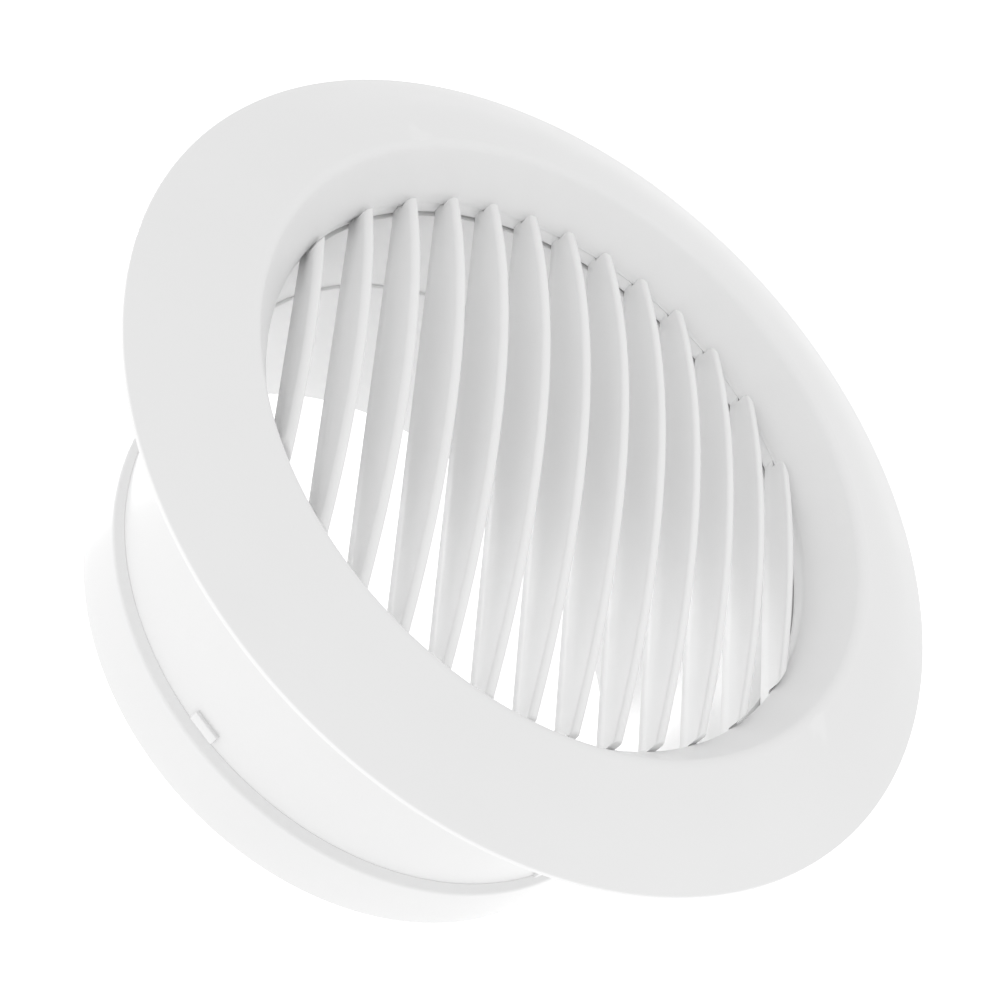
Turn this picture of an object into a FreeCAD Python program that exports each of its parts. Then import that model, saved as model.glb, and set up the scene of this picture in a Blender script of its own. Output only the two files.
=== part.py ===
import FreeCAD, Part
import math
import os

# Round louvred vent grille for a 100 mm duct. Millimetres, +Z out of the face.
# The origin is the centre of the rear rim, so the grille stands on Z = 0 with its face up.
# A name ending in RISE is a height above the flange's front outer edge, and one in DEPTH is below it.

# Overall
FLANGE_R = 70.0            # outside radius of the flange
FLANGE_Z = 55.5            # height of the flange's front outer edge above the rear rim
GAP = 0.3                  # running gap between moving pieces

# Flange and recess
RIM_THICK = 0.8            # thickness at the flange's outer edge
RIM_LAND_R = 67.0          # inside radius of the flat back of the rim
SKIN = 1.8                 # wall of the flange and of the recess
EDGE_ROUND = 0.35          # rounding of the flange's front outer edge
BREAK_R = 61.5             # where the face's slope changes from steep to shallow
BREAK_RISE = 4.5
BREAK_ROUND = 45.0         # the gentle curve that blends the two slopes
RIDGE_R = 52.7             # where the face would meet the recess wall if the ridge were sharp
RIDGE_RISE = 7.4
RIDGE_ROUND = 1.8
LIP_R = 47.3               # the opening at the foot of the recess
LIP_RISE = -0.7
LIP_ROUND = 1.2
LIP_DEPTH = 1.3            # depth of the lip's back, which keeps the louvre ring in its seat

# Socket behind the lip, which the spigot's cup snaps into
SEAT_R = 50.4              # radius of the seat that the louvre ring turns in
CUP_R = 51.4
SKIRT_R = 52.5
SKIRT_DEPTH = 4.5
BEAD_DEPTH = 2.6           # depth of the middle of the snap bead
BEAD_LENGTH = 1.2
BEAD_STAND = 0.25

# Ribs under the flange: one ring rib and a set of webs between it and the skirt
RING_RIB_R = 57.2          # inside radius
RIB_THICK = 1.2
RIB_COUNT = 12
RIB_START = 15.0           # angle of the first web
WEB_DEPTH = 3.2            # depth of a web where it joins the skirt
SINK = 0.4                 # how far a rib or lug runs into the wall that it joins

# Spigot tube
NECK_R = 47.9
CUP_SIDE_DEPTH = 5.4       # where the cup's side ends and slopes in to the neck
FRONT_BORE = 47.15         # bore in front of the step
REAR_BORE = 46.7           # bore behind it
STEP_DEPTH = 23.2

# Rear collar, a cap ring over the tube's back end
COLLAR_R = 49.2
COLLAR_LENGTH = 10.9       # from the rear rim to the start of the front ramp
COLLAR_RAMP = 1.3          # length of the front ramp, which falls to the neck
COLLAR_NOSE = 0.1          # thickness left at the front of the ramp
COLLAR_FLOOR = 1.2         # thickness of the turned-in rim
COLLAR_END_ROUND = 1.0

# Small lugs on the neck, just in front of the collar
LUG_WIDTH = 5.0
LUG_LENGTH = 2.0
LUG_CLEAR = 0.5            # gap between a lug and the collar's front
LUG_STAND = 0.6
LUG_ANGLE = 51.6           # angle of a lug from the X axis, one in each quarter

# Louvres
LOUVRE_COUNT = 13
LOUVRE_PITCH = 7.06
LOUVRE_THICK = 1.5
LOUVRE_DEPTH = 3.95        # depth of the blades' straight backs
DOME_RISE = 9.6            # height of the dome over the centre
DOME_R = 134.6             # radius of the sphere that the front edges lie on
TIP_R = LIP_R - GAP        # radius of the blade tips, which stand up through the lip
TIP_ROUND = 0.5

# Louvre ring, which turns between the back of the lip and the floor of the cup
RING_BORE = 47.7
RING_R = SEAT_R - GAP
RING_TOP_DEPTH = LIP_DEPTH + GAP
CUP_FLOOR_DEPTH = LOUVRE_DEPTH + GAP

AXIS = FreeCAD.Vector(0, 0, 1)
ORIGIN = FreeCAD.Vector(0, 0, 0)


def at(radius, height):
    """A point in the half plane that the turned pieces are drawn in."""
    return FreeCAD.Vector(radius, 0, height)


def rounded(points, radii):
    """A closed outline through points, with each corner replaced by an arc of its radius."""
    count = len(points)
    starts = []
    ends = []
    middles = []
    for i in range(count):
        here = points[i]
        to_last = (points[i - 1] - here).normalize()
        to_next = (points[(i + 1) % count] - here).normalize()
        radius = radii[i]
        if radius == 0:
            starts.append(here)
            ends.append(here)
            middles.append(None)
            continue
        half = to_last.getAngle(to_next) / 2
        run = radius / math.tan(half)
        centre_way = (to_last + to_next).normalize()
        starts.append(here + to_last * run)
        ends.append(here + to_next * run)
        middles.append(here + centre_way * (radius / math.sin(half) - radius))
    edges = []
    for i in range(count):
        if middles[i]:
            edges.append(Part.Arc(starts[i], middles[i], ends[i]).toShape())
        after = starts[(i + 1) % count]
        if (after - ends[i]).Length > 1e-6:
            edges.append(Part.LineSegment(ends[i], after).toShape())
    return Part.Wire(edges)


def turned(points, radii=None):
    """A solid of revolution about Z."""
    outline = rounded(points, radii or [0] * len(points))
    return Part.Face(outline).revolve(ORIGIN, AXIS, 360)


def placed(shape, angles):
    """Copies of a shape, turned about Z to each angle in degrees."""
    copies = []
    for angle in angles:
        copy = shape.copy()
        copy.rotate(ORIGIN, AXIS, angle)
        copies.append(copy)
    return copies


def inset(points, thickness):
    """The line of points moved sideways by thickness, to the right of its direction of travel."""
    moved = []
    for i in range(len(points) - 1):
        along = (points[i + 1] - points[i]).normalize()
        side = FreeCAD.Vector(along.z, 0, -along.x) * thickness
        moved.append((points[i] + side, along))
    corners = [moved[0][0]]
    for i in range(len(moved) - 1):
        start, way = moved[i]
        other, other_way = moved[i + 1]
        across = FreeCAD.Vector(-other_way.z, 0, other_way.x)
        reach = (other - start).dot(across) / way.dot(across)
        corners.append(start + way * reach)
    return corners


def face_line():
    """The face and recess wall from the lip out to the flange edge, as sharp corners."""
    return [
        at(LIP_R, FLANGE_Z + LIP_RISE),
        at(RIDGE_R, FLANGE_Z + RIDGE_RISE),
        at(BREAK_R, FLANGE_Z + BREAK_RISE),
        at(FLANGE_R, FLANGE_Z),
    ]


def height_at(start, end, radius):
    """Height at a radius on the straight line through start and end."""
    return start.z + (end.z - start.z) * (radius - start.x) / (end.x - start.x)


def under_face():
    """The back of the skin: its corners behind the lip, the ridge and the break in slope."""
    return inset(face_line(), SKIN)


def bead():
    """The snap bead on the cup's side, which fills the groove in the skirt."""
    return [
        at(CUP_R, FLANGE_Z - BEAD_DEPTH + BEAD_LENGTH / 2),
        at(CUP_R + BEAD_STAND, FLANGE_Z - BEAD_DEPTH + BEAD_LENGTH / 4),
        at(CUP_R + BEAD_STAND, FLANGE_Z - BEAD_DEPTH - BEAD_LENGTH / 4),
        at(CUP_R, FLANGE_Z - BEAD_DEPTH - BEAD_LENGTH / 2),
    ]


def turned_face():
    """Flange, recess and lip in one outline, with the socket for the spigot's cup behind the lip."""
    lip, ridge, slope_break, edge = face_line()
    behind_lip, behind_ridge, behind_break = under_face()[:3]
    skirt_top = height_at(behind_lip, behind_ridge, SKIRT_R)
    front = [
        (at(FLANGE_R, FLANGE_Z - RIM_THICK), 0),
        (edge, EDGE_ROUND),
        (slope_break, BREAK_ROUND),
        (ridge, RIDGE_ROUND),
        (lip, LIP_ROUND),
        (at(LIP_R, FLANGE_Z - LIP_DEPTH), 0),
        (at(SEAT_R, FLANGE_Z - LIP_DEPTH), 0),
        (at(SEAT_R, FLANGE_Z), 0),
        (at(CUP_R, FLANGE_Z), 0),
    ]
    back = [
        (at(CUP_R, FLANGE_Z - SKIRT_DEPTH), 0),
        (at(SKIRT_R, FLANGE_Z - SKIRT_DEPTH), 0),
        (at(SKIRT_R, skirt_top), 0),
        (behind_ridge, RIDGE_ROUND / 2),
        (behind_break, 0),
        (at(RIM_LAND_R, FLANGE_Z - RIM_THICK), 0),
    ]
    corners = front + [(point, 0) for point in bead()] + back
    return turned([point for point, radius in corners], [radius for point, radius in corners])


def ring_rib():
    """A rib that runs all the way round, level with the back of the rim."""
    behind_lip, behind_ridge, behind_break = under_face()[:3]
    low = FLANGE_Z - RIM_THICK
    outer = RING_RIB_R + RIB_THICK
    return turned([
        at(RING_RIB_R, low),
        at(outer, low),
        at(outer, height_at(behind_ridge, behind_break, outer) + SINK),
        at(RING_RIB_R, height_at(behind_ridge, behind_break, RING_RIB_R) + SINK),
    ])


def web():
    """One web between the skirt and the ring rib."""
    behind_lip, behind_ridge, behind_break = under_face()[:3]
    inner = SKIRT_R - SINK
    outer = RING_RIB_R + SINK
    points = [
        at(inner, FLANGE_Z - WEB_DEPTH),
        at(inner, height_at(behind_lip, behind_ridge, inner) + SINK),
        at(behind_ridge.x, behind_ridge.z + SINK),
        at(outer, height_at(behind_ridge, behind_break, outer) + SINK),
        at(outer, FLANGE_Z - RIM_THICK),
    ]
    plate = Part.Face(Part.makePolygon(points + points[:1])).extrude(FreeCAD.Vector(0, RIB_THICK, 0))
    plate.translate(FreeCAD.Vector(0, -RIB_THICK / 2, 0))
    return plate


def face_frame():
    """The front moulding: flange, recess, lip, socket and ribs."""
    webs = placed(web(), [RIB_START + 360.0 * i / RIB_COUNT for i in range(RIB_COUNT)])
    return turned_face().multiFuse([ring_rib()] + webs)


def lug():
    """One small block on the neck that stops the collar from sliding forwards."""
    corner = FreeCAD.Vector(NECK_R - SINK, -LUG_WIDTH / 2, COLLAR_LENGTH + COLLAR_RAMP + LUG_CLEAR)
    return Part.makeBox(LUG_STAND + SINK, LUG_WIDTH, LUG_LENGTH, corner)


def spigot_tube():
    """The tube that enters the duct. The cup at its front snaps into the face and seats the louvre ring."""
    floor = FLANGE_Z - CUP_FLOOR_DEPTH
    side_end = FLANGE_Z - CUP_SIDE_DEPTH
    step = FLANGE_Z - STEP_DEPTH
    points = [at(FRONT_BORE, floor), at(SEAT_R, floor), at(SEAT_R, FLANGE_Z), at(CUP_R, FLANGE_Z)]
    points += bead()
    points += [
        at(CUP_R, side_end),
        at(NECK_R, side_end - CUP_R + NECK_R),
        at(NECK_R, COLLAR_FLOOR),
        at(REAR_BORE, COLLAR_FLOOR),
        at(REAR_BORE, step),
        at(FRONT_BORE, step),
    ]
    lugs = placed(lug(), [LUG_ANGLE, 180 - LUG_ANGLE, 180 + LUG_ANGLE, 360 - LUG_ANGLE])
    return turned(points).multiFuse(lugs)


def rear_collar():
    """The cap ring over the tube's back end, which stands on its turned-in rim."""
    front = COLLAR_LENGTH + COLLAR_RAMP
    points = [
        at(REAR_BORE, 0),
        at(COLLAR_R, 0),
        at(COLLAR_R, COLLAR_LENGTH),
        at(NECK_R + COLLAR_NOSE, front),
        at(NECK_R, front),
        at(NECK_R, COLLAR_FLOOR),
        at(REAR_BORE, COLLAR_FLOOR),
    ]
    radii = [COLLAR_END_ROUND / 2, COLLAR_END_ROUND, COLLAR_END_ROUND / 2, 0, 0, 0, 0]
    return turned(points, radii)


def louvre_ring():
    """The ring that the blade ends join. It turns in the cup, set back behind the lip."""
    top = FLANGE_Z - RING_TOP_DEPTH
    low = FLANGE_Z - LOUVRE_DEPTH
    return turned([at(RING_BORE, low), at(RING_R, low), at(RING_R, top), at(RING_BORE, top)])


def louvre_envelope():
    """The turned body that all blades are slices of: a flat back, a foot in the ring and a domed front."""
    back = FLANGE_Z - LOUVRE_DEPTH
    foot_top = FLANGE_Z - RING_TOP_DEPTH
    apex = FLANGE_Z + DOME_RISE
    centre = apex - DOME_R

    def dome(radius):
        return at(radius, centre + math.sqrt(DOME_R ** 2 - radius ** 2))

    tip = dome(TIP_R - TIP_ROUND)
    tip_side = at(TIP_R, tip.z - TIP_ROUND)
    tip_mid = at(TIP_R - TIP_ROUND * (1 - math.sqrt(0.5)), tip.z - TIP_ROUND * (1 - math.sqrt(0.5)))
    edges = [
        Part.LineSegment(at(0, back), at(RING_BORE, back)).toShape(),
        Part.LineSegment(at(RING_BORE, back), at(RING_BORE, foot_top)).toShape(),
        Part.LineSegment(at(RING_BORE, foot_top), at(TIP_R, foot_top)).toShape(),
        Part.LineSegment(at(TIP_R, foot_top), tip_side).toShape(),
        Part.Arc(tip_side, tip_mid, tip).toShape(),
        Part.Arc(tip, dome(TIP_R / 2), at(0, apex)).toShape(),
        Part.LineSegment(at(0, apex), at(0, back)).toShape(),
    ]
    return Part.Face(Part.Wire(edges)).revolve(ORIGIN, AXIS, 360)


def louvre(envelope, offset):
    """One blade: the slice of the envelope at this offset."""
    deep = 2 * FLANGE_R
    slab = Part.makeBox(LOUVRE_THICK, deep, deep, FreeCAD.Vector(offset - LOUVRE_THICK / 2, -deep / 2, 0))
    return envelope.common(slab)


def main():
    os.makedirs("parts", exist_ok=True)
    pieces = {
        "face_frame": face_frame(),
        "spigot_tube": spigot_tube(),
        "rear_collar": rear_collar(),
        "louvre_ring": louvre_ring(),
    }
    envelope = louvre_envelope()
    for i in range(LOUVRE_COUNT):
        offset = (i - (LOUVRE_COUNT - 1) / 2) * LOUVRE_PITCH
        pieces["louvre_%02d" % (i + 1)] = louvre(envelope, offset)
    for name, shape in pieces.items():
        solids = len(shape.Solids)
        print(name, "solids", solids, "valid", shape.isValid(), "mm3", round(shape.Volume, 1))
        shape.exportStep("parts/%s.step" % name)


main()
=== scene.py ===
import bmesh
import bpy
import math
from mathutils import Matrix, Vector


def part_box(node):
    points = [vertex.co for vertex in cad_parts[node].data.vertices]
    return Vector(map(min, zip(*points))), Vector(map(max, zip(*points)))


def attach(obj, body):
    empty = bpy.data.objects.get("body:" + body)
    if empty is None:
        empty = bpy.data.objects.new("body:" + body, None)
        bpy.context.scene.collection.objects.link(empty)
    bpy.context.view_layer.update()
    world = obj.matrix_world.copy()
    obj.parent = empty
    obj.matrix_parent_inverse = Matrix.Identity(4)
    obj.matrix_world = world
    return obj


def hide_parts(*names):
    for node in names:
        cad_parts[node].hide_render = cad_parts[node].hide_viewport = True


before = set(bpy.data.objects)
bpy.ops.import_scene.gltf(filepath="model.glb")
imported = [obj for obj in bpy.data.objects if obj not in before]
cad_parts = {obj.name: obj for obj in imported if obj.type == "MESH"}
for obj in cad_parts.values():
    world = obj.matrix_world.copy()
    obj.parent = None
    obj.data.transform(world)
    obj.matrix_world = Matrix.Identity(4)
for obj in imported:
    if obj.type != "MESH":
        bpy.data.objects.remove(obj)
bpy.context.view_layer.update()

# ---------------------------------------------------------------- dimensions
# Millimetres. Radii are from the spigot's axis. A name ending in RISE is a height above the flange's
# front outer edge and one in DEPTH is below it; other heights are from the rear rim.

MM = 0.001

face_low, face_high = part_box("face_frame")
tube_low, tube_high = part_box("spigot_tube")
collar_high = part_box("rear_collar")[1]
ring_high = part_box("louvre_ring")[1]
centre_low, centre_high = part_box("louvre_07")

FLANGE_R = face_high[0] / MM
FLANGE_Z = tube_high[2] / MM           # the flange's front outer edge, level with the tube's end
RIM_THICK = 0.8
RIM_LAND_R = 67.0
SKIN = 1.8
GAP = 0.3                              # clearance of the turning louvres
SINK = 0.4                             # how far ribs and lugs run into the wall they stand on
BREAK_R = 61.5                         # where the face's slope changes
BREAK_RISE = 4.5
RIDGE_R = 52.7
RIDGE_RISE = 7.4
LIP_R = 47.3
LIP_RISE = -0.7
LIP_DEPTH = 1.3

SEAT_R = 50.4
CUP_R = 51.4
SKIRT_R = 52.5
SKIRT_END = face_low[2] / MM
BEHIND_RIDGE_R = 53.1                  # corners of the skin's back, behind the ridge and the break
BEHIND_BREAK_R = 61.0
RING_RIB_R = 57.2
RIB_THICK = 1.2
WEB_DEPTH = 3.2
WEB_COUNT = 12
WEB_START = 15                         # degrees

NECK_R = 47.9
FRONT_BORE = 47.15
REAR_BORE = 46.7
STEP_DEPTH = 23.2
CUP_SIDE_DEPTH = 5.4                   # the cup's outer wall ends here
CUP_CONE_DEPTH = 7.9                   # and its cone meets the neck here
LUG_WIDTH = 5.0
LUG_LENGTH = 2.0
LUG_STAND = 0.6
LUG_CLEAR = 0.5                        # between the collar and a lug
LUG_ANGLES = (51.6, 128.4, 231.6, 308.4)

COLLAR_R = collar_high[0] / MM
COLLAR_FRONT = collar_high[2] / MM
COLLAR_RAMP = 1.3
COLLAR_NOSE = 0.1                      # width of the flat at the front of the ramp
COLLAR_FLOOR = tube_low[2] / MM

RING_R = ring_high[0] / MM
RING_BORE = centre_high[1] / MM        # the blades' feet end on the ring
RING_TOP = ring_high[2] / MM
LOUVRE_BACK = centre_low[2] / MM
CUP_FLOOR = LOUVRE_BACK - GAP

LOUVRE_COUNT = 13
LOUVRE_PITCH = 7.06
LOUVRE_THICK = 1.5
LOUVRE_NOSE = 0.65                     # rounding of a blade's front edges
LOUVRE_HEEL = 0.3                      # rounding of its back edges
TIP_R = LIP_R - GAP
TIP_ROUND = 0.5
DOME_TOP = centre_high[2] / MM
DOME_R = 134.6

TURN_STEPS = 256                       # segments round a turned piece
TURN_EDGE = 4.0                        # longest edge of a turned outline
WEB_EDGE = 3.0                         # longest edge of a web
PLATE_STEPS = 3                        # segments in a plate's rounded edge
BLADE_STEPS = 6                        # segments in the roundings of a blade
FRONT_STEPS = 40                       # segments along a blade's front
MITRE_LIMIT = 0.5                      # stops a sharp corner from being pushed far out


# ---------------------------------------------------------------- outlines

def rounded(corners, steps=8):
    """Points along a closed outline of (radius, height, rounding) corners."""
    points = []
    count = len(corners)
    for i in range(count):
        here = Vector(corners[i][:2])
        radius = corners[i][2]
        if radius == 0:
            points.append(here)
            continue
        to_last = (Vector(corners[i - 1][:2]) - here).normalized()
        to_next = (Vector(corners[(i + 1) % count][:2]) - here).normalized()
        half = to_last.angle(to_next) / 2
        start = here + to_last * (radius / math.tan(half))
        end = here + to_next * (radius / math.tan(half))
        centre = here + (to_last + to_next).normalized() * (radius / math.sin(half))
        turn = (start - centre).angle_signed(end - centre)
        for k in range(steps + 1):
            arm = start - centre
            arm.rotate(Matrix.Rotation(-turn * k / steps, 2))
            points.append(centre + arm)
    return points


def inset(points, distance):
    """A closed outline moved inwards, to the left of its direction of travel, with mitred corners."""
    moved = []
    count = len(points)
    for i in range(count):
        before = (points[i] - points[i - 1]).normalized()
        after = (points[(i + 1) % count] - points[i]).normalized()
        side_before = Vector((-before.y, before.x))
        side_after = Vector((-after.y, after.x))
        mitre = (side_before + side_after).normalized()
        moved.append(points[i] + mitre * (distance / max(mitre.dot(side_after), MITRE_LIMIT)))
    return moved


def divided(points, longest):
    """The outline with extra points, so that no edge is longer than this."""
    result = []
    for i, here in enumerate(points):
        after = points[(i + 1) % len(points)]
        pieces = max(1, math.ceil((after - here).length / longest))
        for k in range(pieces):
            result.append(here.lerp(after, k / pieces))
    return result


# ---------------------------------------------------------------- mesh helpers

def make_piece(name, mesh_data, body, slot, node, sharp=40):
    """Links a bmesh as a piece that rides on a body and stands for a CAD node.

    Edges that turn by more than sharp, in degrees, are shaded sharp.
    """
    bmesh.ops.recalc_face_normals(mesh_data, faces=mesh_data.faces)
    mesh = bpy.data.meshes.new(name)
    for vertex in mesh_data.verts:
        vertex.co *= MM
    mesh_data.to_mesh(mesh)
    mesh_data.free()
    mesh.shade_smooth()
    mesh.set_sharp_from_angle(angle=math.radians(sharp))
    piece = bpy.data.objects.new(name, mesh)
    bpy.context.scene.collection.objects.link(piece)
    piece.data.materials.append(materials[slot])
    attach(piece, body)
    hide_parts(node)


def join_rings(mesh_data, rings):
    """Skins a row of rings of vertices and closes both ends."""
    for ring, after in zip(rings, rings[1:]):
        for i in range(len(ring)):
            j = (i + 1) % len(ring)
            mesh_data.faces.new((ring[i], ring[j], after[j], after[i]))
    mesh_data.faces.new(list(reversed(rings[0])))
    mesh_data.faces.new(rings[-1])


def add_plate(mesh_data, outline, thickness, nose, angle):
    """Adds an upright plate with rounded edges, whose outline runs outwards at this angle about Z."""
    place = Matrix.Rotation(math.radians(angle - 90), 4, "Z")
    layers = []
    for k in range(PLATE_STEPS + 1):
        turn = math.pi / 2 * (1 - k / PLATE_STEPS)
        depth = nose * (1 - math.cos(turn))
        layers.append((-thickness / 2 + nose * (1 - math.sin(turn)), depth))
    layers += [(-x, depth) for x, depth in reversed(layers)]
    rings = []
    for x, depth in layers:
        ring = inset(outline, depth) if depth else outline
        rings.append([mesh_data.verts.new(place @ Vector((x, p.x, p.y))) for p in ring])
    join_rings(mesh_data, rings)


def turned_mesh(corners):
    """A new bmesh of a closed outline of (radius, height, rounding) corners, turned about Z."""
    outline = divided(rounded(corners), TURN_EDGE)
    mesh_data = bmesh.new()
    rings = []
    for k in range(TURN_STEPS):
        angle = 2 * math.pi * k / TURN_STEPS
        across = math.cos(angle)
        along = math.sin(angle)
        rings.append([mesh_data.verts.new((p.x * across, p.x * along, p.y)) for p in outline])
    for k in range(TURN_STEPS):
        ring = rings[k]
        after = rings[(k + 1) % TURN_STEPS]
        for i in range(len(outline)):
            j = (i + 1) % len(outline)
            mesh_data.faces.new((ring[i], after[i], after[j], ring[j]))
    return mesh_data


# ---------------------------------------------------------------- materials

def moulded_plastic(name, colour, roughness, grain):
    """White ABS: faint mottling, uneven gloss, moulding grain, and a painted highlight that lightens
    the colour of convex edges.
    """
    mottle_shade = 0.985
    # painted highlight: the colour of convex edges is raised by this factor
    edge_highlight_gain = 1.02
    wave_weight = 4.0
    grain_height = 0.00005             # metres

    material = bpy.data.materials.new(name)
    material.use_nodes = True
    nodes = material.node_tree.nodes
    links = material.node_tree.links
    shader = nodes["Principled BSDF"]
    shader.inputs["IOR"].default_value = 1.52
    place = nodes.new("ShaderNodeTexCoord")

    def add_noise(scale, detail):
        """The value of a noise that is fixed to the piece."""
        noise = nodes.new("ShaderNodeTexNoise")
        noise.inputs["Scale"].default_value = scale
        noise.inputs["Detail"].default_value = detail
        links.new(place.outputs["Object"], noise.inputs["Vector"])
        return noise.outputs["Fac"]

    def add_blend():
        blend = nodes.new("ShaderNodeMix")
        blend.data_type = "RGBA"
        return blend

    tone = nodes.new("ShaderNodeMapRange")
    tone.inputs["From Min"].default_value = 0.3
    tone.inputs["From Max"].default_value = 0.7
    links.new(add_noise(38, 4), tone.inputs["Value"])
    mottled = add_blend()
    mottled.inputs["A"].default_value = (*[c * mottle_shade for c in colour], 1)
    mottled.inputs["B"].default_value = (*colour, 1)
    links.new(tone.outputs["Result"], mottled.inputs["Factor"])

    # Painted highlight: convex edges, found by pointiness, get a slightly lighter colour.
    geometry = nodes.new("ShaderNodeNewGeometry")
    edge = nodes.new("ShaderNodeMapRange")
    edge.inputs["From Min"].default_value = 0.5
    edge.inputs["From Max"].default_value = 0.58
    links.new(geometry.outputs["Pointiness"], edge.inputs["Value"])
    edge_highlight = add_blend()
    edge_highlight.inputs["B"].default_value = (*[min(1.0, c * edge_highlight_gain) for c in colour], 1)
    links.new(edge.outputs["Result"], edge_highlight.inputs["Factor"])
    links.new(mottled.outputs["Result"], edge_highlight.inputs["A"])
    links.new(edge_highlight.outputs["Result"], shader.inputs["Base Color"])

    sheen = nodes.new("ShaderNodeMapRange")
    sheen.inputs["To Min"].default_value = roughness - 0.05
    sheen.inputs["To Max"].default_value = roughness + 0.07
    links.new(add_noise(120, 3), sheen.inputs["Value"])
    links.new(sheen.outputs["Result"], shader.inputs["Roughness"])

    relief = nodes.new("ShaderNodeMath")
    relief.operation = "MULTIPLY_ADD"
    relief.inputs[1].default_value = wave_weight
    links.new(add_noise(55, 2), relief.inputs[0])
    links.new(add_noise(2600, 2), relief.inputs[2])
    bump = nodes.new("ShaderNodeBump")
    bump.inputs["Strength"].default_value = grain
    bump.inputs["Distance"].default_value = grain_height
    links.new(relief.outputs["Value"], bump.inputs["Height"])
    links.new(bump.outputs["Normal"], shader.inputs["Normal"])
    return material


materials = {
    "face_plastic": moulded_plastic(
        "face_plastic", (0.86, 0.86, 0.86), roughness=0.36, grain=0.25),
    # Painted shade: the spigot is the same white plastic as the face, given a darker colour to stand
    # for shade.
    "spigot_plastic": moulded_plastic(
        "spigot_plastic", (0.78, 0.78, 0.78), roughness=0.30, grain=0.2),
    "louvre_plastic": moulded_plastic(
        "louvre_plastic", (0.89, 0.89, 0.89), roughness=0.40, grain=0.3),
}


# ---------------------------------------------------------------- housing

def underside(radius, start=(RIDGE_R, RIDGE_RISE), end=(BREAK_R, BREAK_RISE)):
    """Height of the skin's back, SKIN behind the line from start to end, both (radius, rise)."""
    slope = (end[1] - start[1]) / (end[0] - start[0])
    return FLANGE_Z + start[1] + (radius - start[0]) * slope - SKIN * math.hypot(1, slope)


def make_face():
    """Flange, ridge, recess, lip, socket and ring rib as one turned outline, and the webs."""
    rim_back = FLANGE_Z - RIM_THICK
    rib_outer = RING_RIB_R + RIB_THICK
    skirt_top = underside(SKIRT_R, (LIP_R, LIP_RISE), (RIDGE_R, RIDGE_RISE))
    corners = [
        (FLANGE_R, rim_back, 0.15),
        (FLANGE_R, FLANGE_Z, 0.35),
        (BREAK_R, FLANGE_Z + BREAK_RISE, 45.0),
        (RIDGE_R, FLANGE_Z + RIDGE_RISE, 1.8),
        (LIP_R, FLANGE_Z + LIP_RISE, 1.2),
        (LIP_R, FLANGE_Z - LIP_DEPTH, 0.1),
        (SEAT_R, FLANGE_Z - LIP_DEPTH, 0),
        (SEAT_R, FLANGE_Z, 0),
        (CUP_R, FLANGE_Z, 0),
        (CUP_R, SKIRT_END, 0.15),
        (SKIRT_R, SKIRT_END, 0.3),
        (SKIRT_R, skirt_top, 0),
        (BEHIND_RIDGE_R, underside(BEHIND_RIDGE_R), 0.4),
        (RING_RIB_R, underside(RING_RIB_R), 0.3),
        (RING_RIB_R, rim_back, 0.2),
        (rib_outer, rim_back, 0.2),
        (rib_outer, underside(rib_outer), 0.3),
        (BEHIND_BREAK_R, underside(BEHIND_BREAK_R), 2.0),
        (RIM_LAND_R, rim_back, 0.2),
    ]
    mesh_data = turned_mesh(corners)

    web_corners = [
        (SKIRT_R - SINK, FLANGE_Z - WEB_DEPTH, 0),
        (RING_RIB_R + SINK, rim_back, 0),
        (RING_RIB_R + SINK, underside(RING_RIB_R) + SINK, 0),
        (BEHIND_RIDGE_R, underside(BEHIND_RIDGE_R) + SINK, 0),
        (SKIRT_R - SINK, skirt_top + SINK, 0),
    ]
    web = divided(rounded(web_corners), WEB_EDGE)
    for i in range(WEB_COUNT):
        angle = WEB_START + 360 / WEB_COUNT * i
        add_plate(mesh_data, web, RIB_THICK, nose=0.25, angle=angle)
    make_piece("face_moulding", mesh_data, "housing", "face_plastic", "face_frame")


def make_tube():
    """The spigot: the cup that seats the louvre ring, the neck, the step in its bore and four lugs."""
    corners = [
        (FRONT_BORE, CUP_FLOOR, 0.15),
        (FRONT_BORE, FLANGE_Z - STEP_DEPTH, 0),
        (REAR_BORE, FLANGE_Z - STEP_DEPTH, 0.4),
        (REAR_BORE, COLLAR_FLOOR, 0),
        (NECK_R, COLLAR_FLOOR, 0),
        (NECK_R, FLANGE_Z - CUP_CONE_DEPTH, 0.6),
        (CUP_R, FLANGE_Z - CUP_SIDE_DEPTH, 0.3),
        (CUP_R, FLANGE_Z, 0),
        (SEAT_R, FLANGE_Z, 0),
        (SEAT_R, CUP_FLOOR, 0.1),
    ]
    mesh_data = turned_mesh(corners)

    low = COLLAR_FRONT + LUG_CLEAR
    high = low + LUG_LENGTH
    lug_corners = [
        (NECK_R - SINK, low, 0),
        (NECK_R + LUG_STAND, low, 0.2),
        (NECK_R + LUG_STAND, high, 0.2),
        (NECK_R - SINK, high, 0),
    ]
    lug = rounded(lug_corners, 3)
    for angle in LUG_ANGLES:
        add_plate(mesh_data, lug, LUG_WIDTH, nose=0.2, angle=angle)
    make_piece("spigot_moulding", mesh_data, "housing", "spigot_plastic", "spigot_tube")


def make_collar():
    """The ring pushed over the tube's back end, with a ramp at its front and a rounded rear rim."""
    corners = [
        (REAR_BORE, 0, 0.5),
        (COLLAR_R, 0, 1.0),
        (COLLAR_R, COLLAR_FRONT - COLLAR_RAMP, 1.2),
        (NECK_R + COLLAR_NOSE, COLLAR_FRONT, 0),
        (NECK_R, COLLAR_FRONT, 0),
        (NECK_R, COLLAR_FLOOR, 0),
        (REAR_BORE, COLLAR_FLOOR, 0),
    ]
    make_piece("collar_ring", turned_mesh(corners), "housing", "spigot_plastic", "rear_collar")


# ---------------------------------------------------------------- louvres

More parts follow.
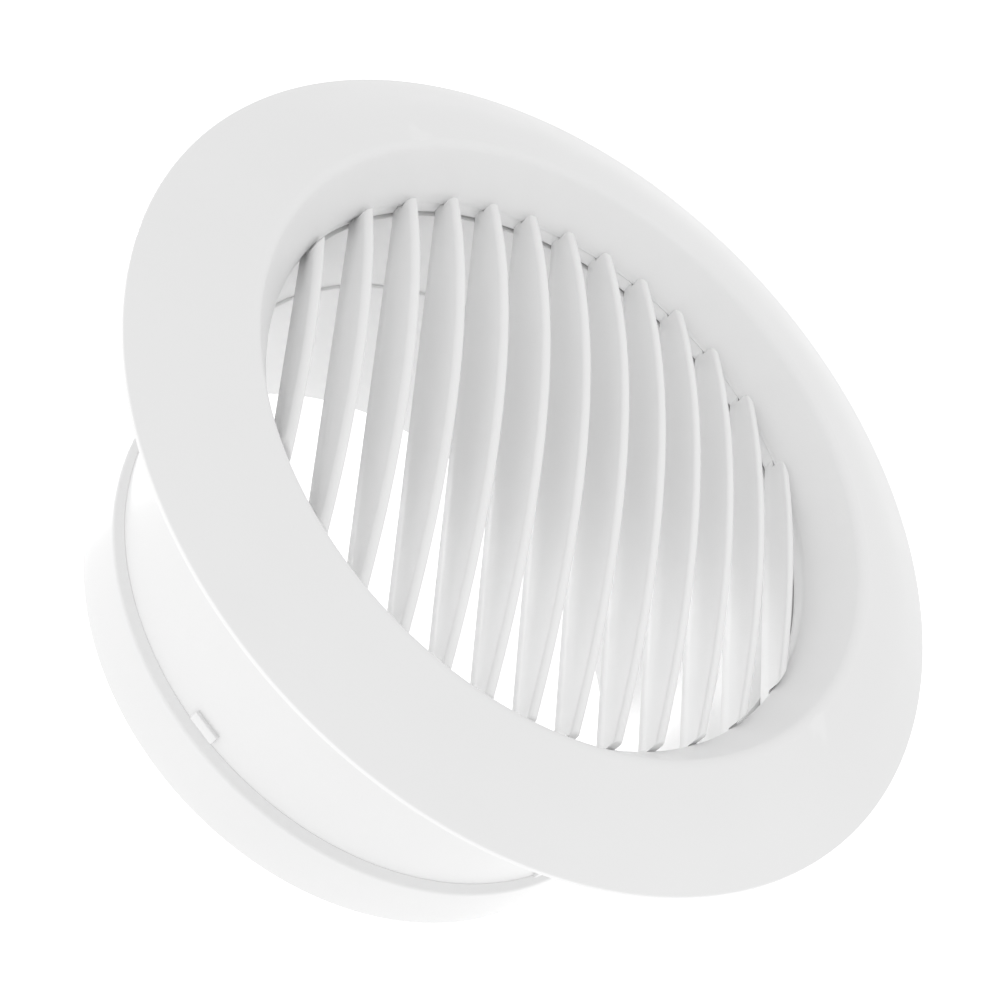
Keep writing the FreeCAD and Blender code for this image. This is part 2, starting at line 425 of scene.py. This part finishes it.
def make_ring():
    """The ring that joins the blades' ends."""
    corners = [
        (RING_BORE, LOUVRE_BACK, 0.15),
        (RING_R, LOUVRE_BACK, 0.25),
        (RING_R, RING_TOP, 0.25),
        (RING_BORE, RING_TOP, 0.15),
    ]
    make_piece("blade_ring", turned_mesh(corners), "louvres", "louvre_plastic", "louvre_ring")


def dome_height(radius):
    """Height of the blades' front edges, which lie on one sphere."""
    return DOME_TOP - DOME_R + math.sqrt(DOME_R ** 2 - radius ** 2)


def tip_profile():
    """Radius and height from a blade's foot in the ring to the start of the dome."""
    points = [(RING_BORE, LOUVRE_BACK), (RING_BORE, RING_TOP), (TIP_R, RING_TOP)]
    centre_r = TIP_R - TIP_ROUND
    centre_z = dome_height(centre_r) - TIP_ROUND
    for k in range(BLADE_STEPS + 1):
        angle = math.pi / 2 * k / BLADE_STEPS
        radius = centre_r + TIP_ROUND * math.cos(angle)
        points.append((radius, centre_z + TIP_ROUND * math.sin(angle)))
    return points


def make_louvre(number):
    """One blade: a slice of a turned body with a flat back, a foot in the ring and a domed front."""
    offset = (number - (LOUVRE_COUNT + 1) / 2) * LOUVRE_PITCH
    profile = tip_profile()

    def layer(x, front_cut, back_cut):
        """The blade's outline in the plane at x, with its front lowered and its back raised."""
        across = offset + x
        side = []
        for radius, height in profile:
            if height == LOUVRE_BACK:
                height += back_cut
            elif height > RING_TOP:
                height -= front_cut
            side.append(Vector((math.sqrt(radius ** 2 - across ** 2), height)))
        front = []
        for k in range(1, FRONT_STEPS):
            along = side[-1].x * (1 - 2 * k / FRONT_STEPS)
            front.append(Vector((along, dome_height(math.hypot(along, across)) - front_cut)))
        return side + front + [Vector((-p.x, p.y)) for p in reversed(side)]

    layers = []
    for k in range(BLADE_STEPS + 1):
        angle = math.pi / 2 * k / BLADE_STEPS
        inwards = LOUVRE_NOSE * (1 - math.cos(angle))
        front_cut = LOUVRE_NOSE * (1 - math.sin(angle))
        back_cut = max(0, LOUVRE_HEEL - inwards)
        layers.append((-LOUVRE_THICK / 2 + inwards, front_cut, back_cut))
    layers += [(-x, front_cut, back_cut) for x, front_cut, back_cut in reversed(layers)]
    mesh_data = bmesh.new()
    rings = []
    for x, front_cut, back_cut in layers:
        outline = layer(x, front_cut, back_cut)
        rings.append([mesh_data.verts.new((offset + x, p.x, p.y)) for p in outline])
    join_rings(mesh_data, rings)
    node = "louvre_%02d" % number
    make_piece("blade_%02d" % number, mesh_data, "louvres", "louvre_plastic", node, sharp=50)


# ---------------------------------------------------------------- stage, light and camera

def make_floor():
    """A pale floor well below the part, faintly lit from within so that it shows as white."""
    drop = 0.45                        # metres, as are the lamps and the camera below
    reach = 4.0
    mesh = bpy.data.meshes.new("floor")
    corners = [(x * reach, y * reach, -drop) for x, y in ((-1, -1), (1, -1), (1, 1), (-1, 1))]
    mesh.from_pydata(corners, [], [(0, 1, 2, 3)])
    floor = bpy.data.objects.new("floor", mesh)
    bpy.context.scene.collection.objects.link(floor)
    material = bpy.data.materials.new("floor")
    material.use_nodes = True
    shader = material.node_tree.nodes["Principled BSDF"]
    shader.inputs["Base Color"].default_value = (0.9, 0.9, 0.9, 1)
    shader.inputs["Roughness"].default_value = 0.9
    shader.inputs["Emission Color"].default_value = (1, 1, 1, 1)
    shader.inputs["Emission Strength"].default_value = 0.55
    mesh.materials.append(material)


def add_area(name, place, size, power):
    """A round lamp that faces the part's middle. Its power is in watts."""
    middle = Vector((0, 0, 0.05))
    light = bpy.data.lights.new(name, "AREA")
    light.shape = "DISK"
    light.size = size
    light.energy = power
    lamp = bpy.data.objects.new(name, light)
    bpy.context.scene.collection.objects.link(lamp)
    lamp.location = place
    lamp.rotation_euler = (middle - Vector(place)).to_track_quat("-Z", "Y").to_euler()


def make_lights():
    """Bright even surroundings, a key, a fill, and a weak lamp that lights the blades from behind."""
    world = bpy.data.worlds.new("studio")
    bpy.context.scene.world = world
    world.use_nodes = True
    background = world.node_tree.nodes["Background"]
    background.inputs["Color"].default_value = (1, 1, 1, 1)
    background.inputs["Strength"].default_value = 0.85
    add_area("key", (0.55, -0.25, 0.8), size=1.4, power=1.1)
    add_area("fill", (-0.9, -0.35, 0.25), size=1.2, power=0.7)
    add_area("bore", (-0.17, 0.37, -0.33), size=0.2, power=0.36)


def make_camera():
    """A long lens looking down across the face, rolled so that the grille leans to the right."""
    right = Vector((0.8402, 0.0708, 0.5376))
    up = Vector((-0.3907, 0.7665, 0.5097))
    back = right.cross(up)
    up = back.cross(right)
    data = bpy.data.cameras.new("camera")
    data.sensor_width = 36
    data.lens = 107.9
    camera = bpy.data.objects.new("camera", data)
    bpy.context.scene.collection.objects.link(camera)
    camera.matrix_world = Matrix((right, up, back)).transposed().to_4x4()
    camera.location = (-0.17045, -0.28749, 0.34621)
    bpy.context.scene.camera = camera


make_camera()
make_floor()
make_lights()
bpy.context.scene.view_settings.view_transform = "Standard"

make_face()
make_tube()
make_collar()
make_ring()
for blade_number in range(1, LOUVRE_COUNT + 1):
    make_louvre(blade_number)
